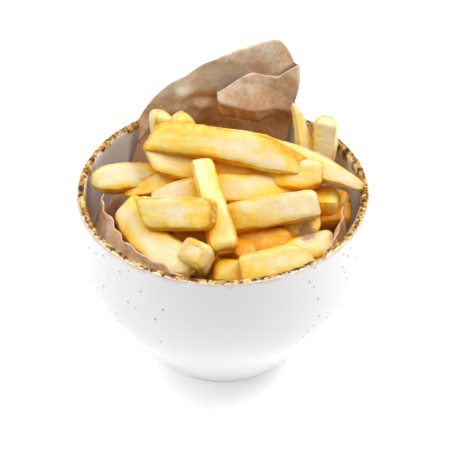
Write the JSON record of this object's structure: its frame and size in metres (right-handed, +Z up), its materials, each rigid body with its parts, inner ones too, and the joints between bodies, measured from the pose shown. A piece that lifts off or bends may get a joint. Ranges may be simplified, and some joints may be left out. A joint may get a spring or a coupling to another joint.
{
  "type": "french fries portion",
  "caption": "Portion of thick-cut french fries heaped on a brown paper liner in a deep round white bowl with a brown speckled rim.",
  "frame": {"origin": "centre of the bowl's foot ring, on the surface that the bowl stands on", "axes": "+Z up; the front is towards -Y; the paper stands up at the back, towards +Y; +X is to the right seen from the front"},
  "size_m": [0.1266, 0.1266, 0.13],
  "materials": {
    "bowl_glaze": "gloss",
    "paper": "matte",
    "fries": "satin"
  },
  "bodies": {
    "root": {"bowl": "bowl_glaze", "paper_liner": "paper", "fries_heap": "fries"}
  },
  "joints": []
}
